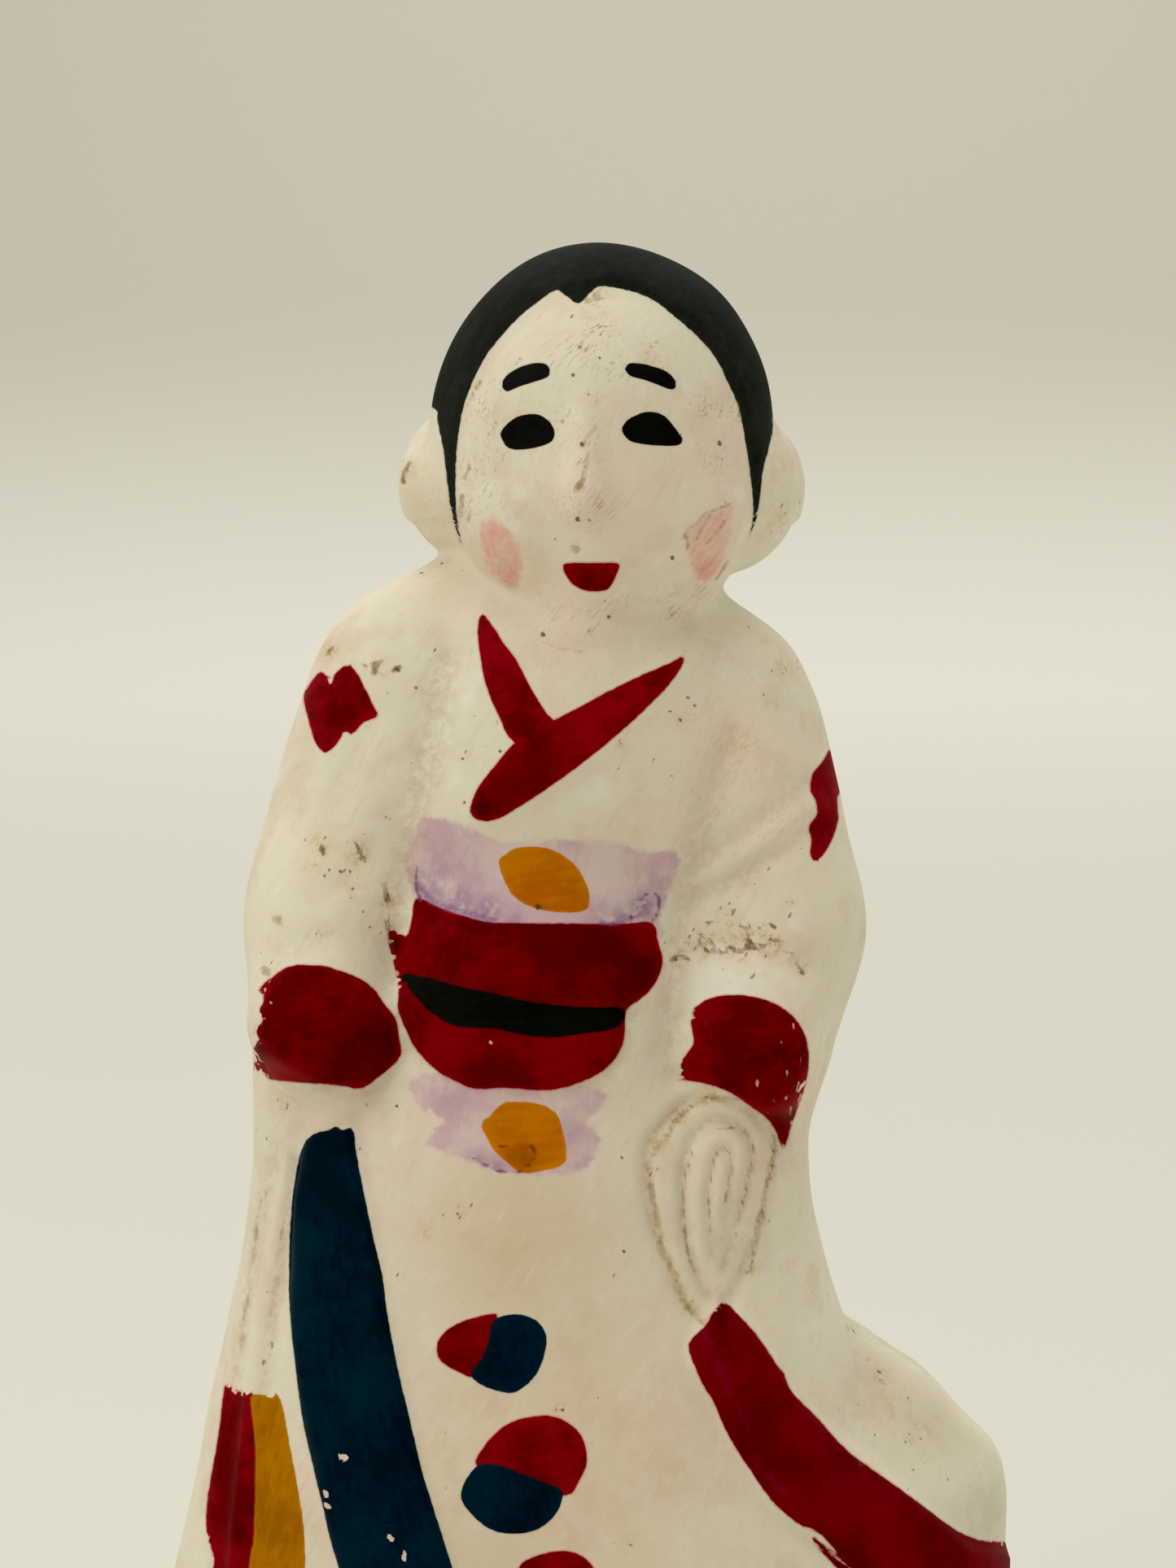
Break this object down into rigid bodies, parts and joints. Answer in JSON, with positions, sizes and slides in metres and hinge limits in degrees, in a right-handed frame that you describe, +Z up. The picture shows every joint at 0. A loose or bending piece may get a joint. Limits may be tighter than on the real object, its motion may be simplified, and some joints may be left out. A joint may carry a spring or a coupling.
{
  "type": "japanese clay doll",
  "caption": "Moulded and painted clay doll of a standing woman in a long-sleeved robe with a sash, on a low foot slab.",
  "frame": {"origin": "middle of the foot slab's underside", "axes": "+Z up; the face looks along -Y; +X is to the right of someone facing the doll"},
  "size_m": [0.113, 0.07, 0.204],
  "materials": {
    "painted_clay": "unglazed clay under chalky white ground and brushed matte paints"
  },
  "bodies": {
    "root": {"clay_doll": "painted_clay"}
  },
  "joints": []
}
